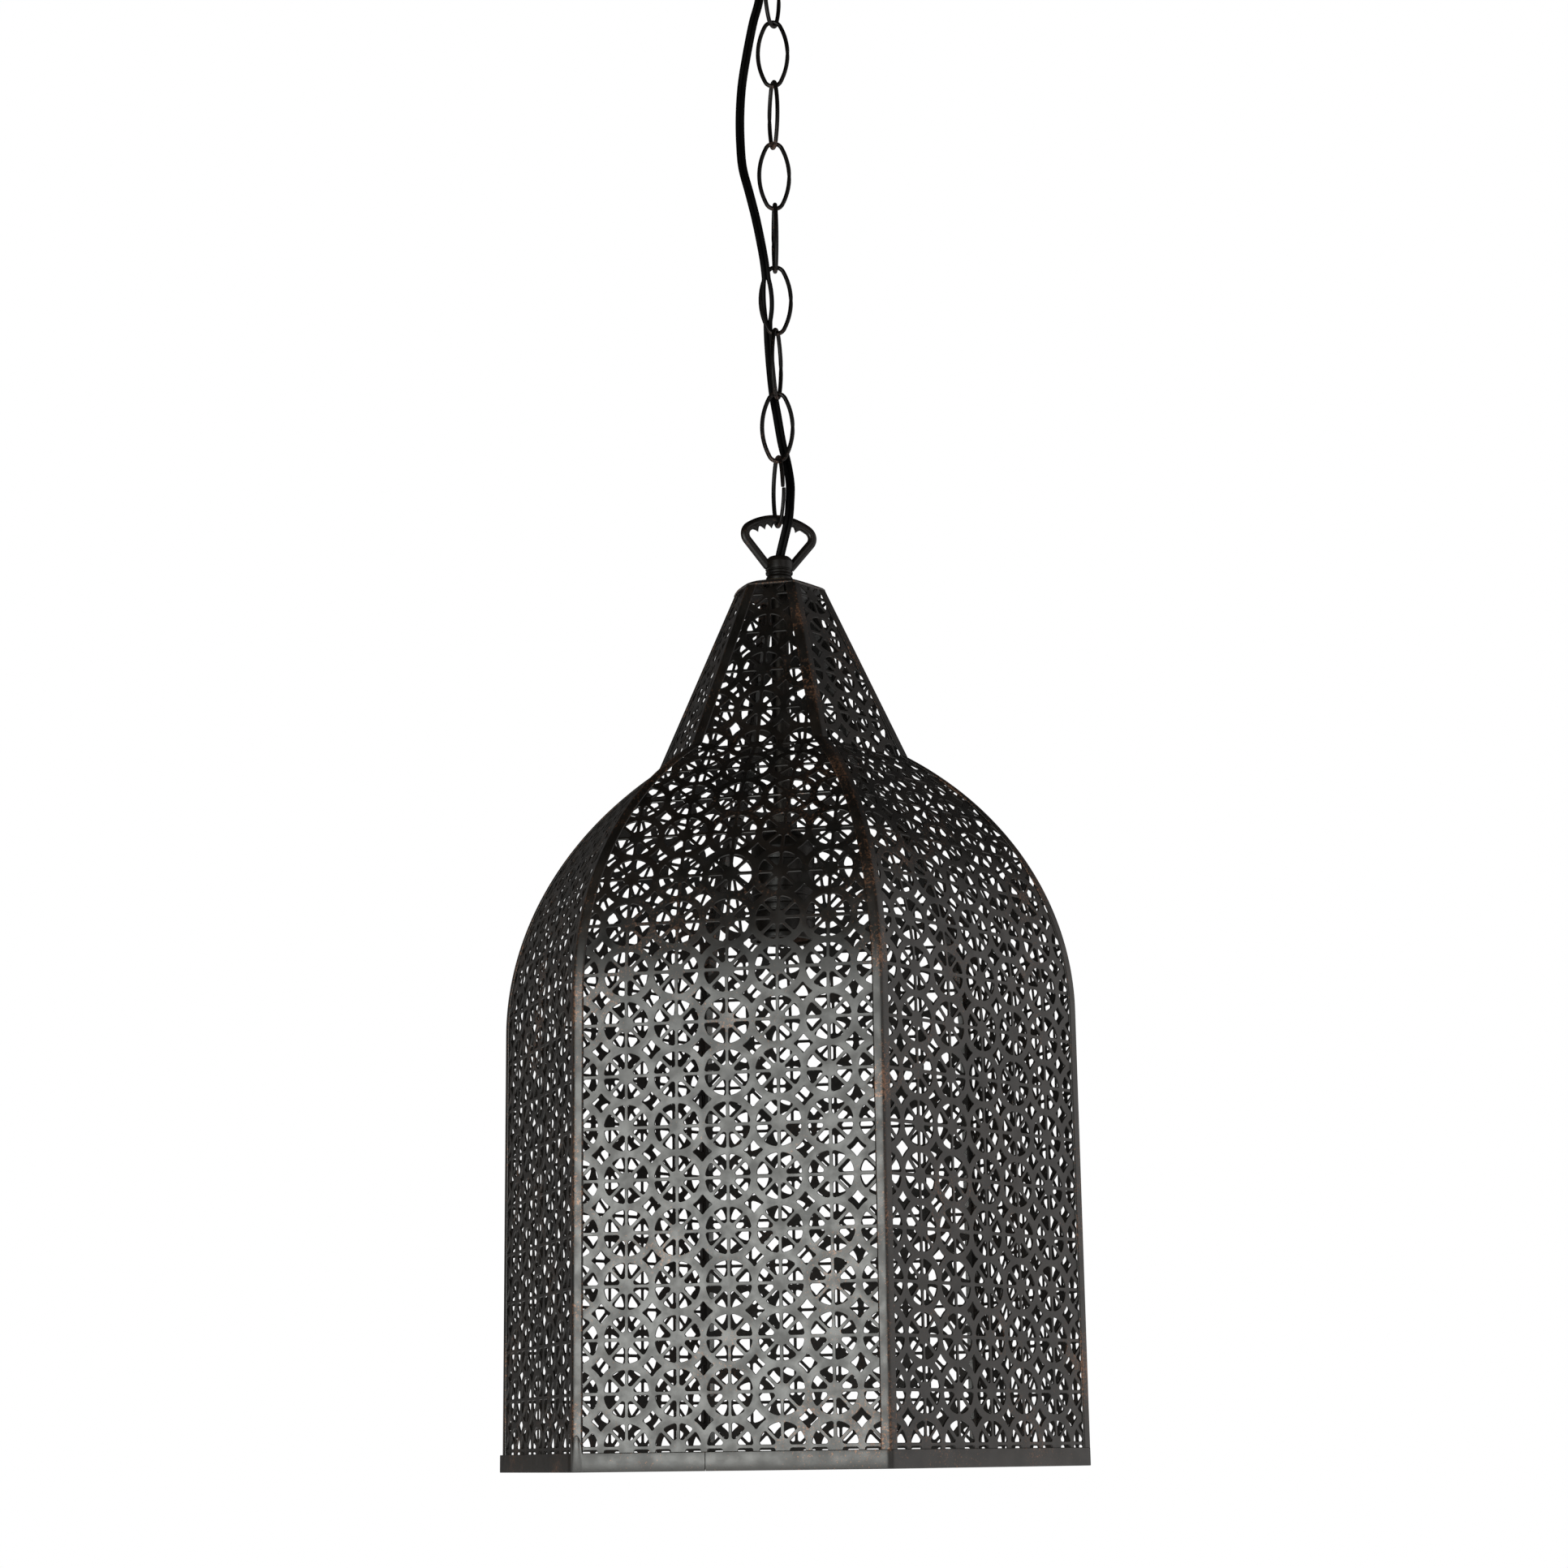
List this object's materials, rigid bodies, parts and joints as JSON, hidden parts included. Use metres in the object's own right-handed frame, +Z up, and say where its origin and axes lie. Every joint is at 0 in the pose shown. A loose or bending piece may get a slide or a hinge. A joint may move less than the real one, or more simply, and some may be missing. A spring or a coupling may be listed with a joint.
{
  "type": "hanging lantern",
  "caption": "Six-sided hanging lantern of pierced sheet metal with a curved shoulder, on an oval-link chain with a two-core lamp cord, cast hanger loop and ceiling canopy.",
  "frame": {"origin": "middle of the ceiling bracket's top face, between its two screw slots, where it lies against the ceiling; the lantern hangs below", "axes": "+Z up out of the ceiling side; -Y is the direction that one flat side of the lantern, the one with the band's seam, faces; +X to that side's right"},
  "size_m": [0.311, 0.2694, 0.912],
  "materials": {
    "aged_iron": "satin dark bronze lacquer over iron, copper showing at the edges",
    "pierced_sheet": "satin dark bronze lacquer over pierced sheet iron",
    "corner_strip": "satin dark bronze with copper rubbed through",
    "chain_wire": "dark brown oxide, rubbed bright on the bends",
    "cast_hanger": "cast metal, antique bronze finish",
    "worn_brass": "dull worn brass",
    "brass": "bright brass",
    "zinc_steel": "zinc plated",
    "black_bakelite": "black moulded bakelite",
    "porcelain": "glazed white porcelain",
    "paper_liner": "pressed fibre liner",
    "white_plastic": "white nylon",
    "black_rubber": "matt black rubber",
    "cord_jacket": "black vinyl two-core cord"
  },
  "bodies": {
    "ceiling_fitting": {"mounting_bracket": "zinc_steel", "ceiling_canopy": "aged_iron", "hook_eye": "aged_iron", "canopy_nut": "aged_iron", "bracket_nut": "zinc_steel", "cord_grommet": "black_rubber", "terminal_block": "white_plastic", "terminal_screws": "brass", "cord_top": "cord_jacket", "cord_9": "cord_jacket"},
    "chain_link_9": {"link_9": "chain_wire", "cord_8": "cord_jacket"},
    "chain_link_8": {"link_8": "chain_wire", "cord_7": "cord_jacket"},
    "chain_link_7": {"link_7": "chain_wire", "cord_6": "cord_jacket"},
    "chain_link_6": {"link_6": "chain_wire", "cord_5": "cord_jacket"},
    "chain_link_5": {"link_5": "chain_wire", "cord_4": "cord_jacket"},
    "chain_link_4": {"link_4": "chain_wire", "cord_3": "cord_jacket"},
    "chain_link_3": {"link_3": "chain_wire", "cord_2": "cord_jacket"},
    "chain_link_2": {"link_2": "chain_wire", "cord_1": "cord_jacket"},
    "chain_link_1": {"link_1": "chain_wire", "cord_0": "cord_jacket"},
    "lantern": {"hanger_loop": "cast_hanger", "brass_washer": "worn_brass", "top_plate": "aged_iron", "stem_tube": "zinc_steel", "lock_washer": "zinc_steel", "stem_nut": "zinc_steel", "holder_nut": "zinc_steel", "panel_1": "pierced_sheet", "panel_2": "pierced_sheet", "panel_3": "pierced_sheet", "panel_4": "pierced_sheet", "panel_5": "pierced_sheet", "panel_6": "pierced_sheet", "rib_1": "corner_strip", "rib_2": "corner_strip", "rib_3": "corner_strip", "rib_4": "corner_strip", "rib_5": "corner_strip", "rib_6": "corner_strip", "bottom_band": "corner_strip", "holder_cap": "black_bakelite", "holder_body": "black_bakelite", "holder_base": "porcelain", "screw_shell": "brass", "shell_liner": "paper_liner", "centre_contact": "brass", "contact_screws": "brass", "core_leads": "cord_jacket", "cord_stem": "cord_jacket"}
  },
  "joints": [
    {"name": "link_9_swing", "type": "hinge", "parent": "ceiling_fitting", "child": "chain_link_9", "pos_m": [0, 0, -0.0686], "axis": [-0.9659, 0.2588, 0], "range_deg": [-12, 12], "deforming": ["cord_9"]},
    {"name": "link_8_swing", "type": "hinge", "parent": "chain_link_9", "child": "chain_link_8", "pos_m": [0, 0, -0.10465], "axis": [0.2588, 0.9659, 0], "range_deg": [-12, 12], "deforming": ["cord_8"]},
    {"name": "link_7_swing", "type": "hinge", "parent": "chain_link_8", "child": "chain_link_7", "pos_m": [0, 0, -0.14215], "axis": [0.9903, 0.1392, 0], "range_deg": [-12, 12], "deforming": ["cord_7"]},
    {"name": "link_6_swing", "type": "hinge", "parent": "chain_link_7", "child": "chain_link_6", "pos_m": [0, 0, -0.17965], "axis": [-0.4695, 0.8829, 0], "range_deg": [-12, 12], "deforming": ["cord_6"]},
    {"name": "link_5_swing", "type": "hinge", "parent": "chain_link_6", "child": "chain_link_5", "pos_m": [0, 0, -0.21715], "axis": [0.9613, 0.2756, 0], "range_deg": [-12, 12], "deforming": ["cord_5"]},
    {"name": "link_4_swing", "type": "hinge", "parent": "chain_link_5", "child": "chain_link_4", "pos_m": [0, 0, -0.25465], "axis": [-0.309, 0.9511, 0], "range_deg": [-12, 12], "deforming": ["cord_4"]},
    {"name": "link_3_swing", "type": "hinge", "parent": "chain_link_4", "child": "chain_link_3", "pos_m": [0, 0, -0.29215], "axis": [0.9703, 0.2419, 0], "range_deg": [-12, 12], "deforming": ["cord_3"]},
    {"name": "link_2_swing", "type": "hinge", "parent": "chain_link_3", "child": "chain_link_2", "pos_m": [0, 0, -0.32965], "axis": [0.0698, 0.9976, 0], "range_deg": [-12, 12], "deforming": ["cord_2"]},
    {"name": "link_1_swing", "type": "hinge", "parent": "chain_link_2", "child": "chain_link_1", "pos_m": [0, 0, -0.36715], "axis": [0.9781, 0.2079, 0], "range_deg": [-12, 12], "deforming": ["cord_1"]},
    {"name": "lantern_swing", "type": "hinge", "parent": "chain_link_1", "child": "lantern", "pos_m": [0, 0, -0.40465], "axis": [-0.5, 0.866, 0], "range_deg": [-15, 15], "deforming": ["cord_0"]}
  ]
}
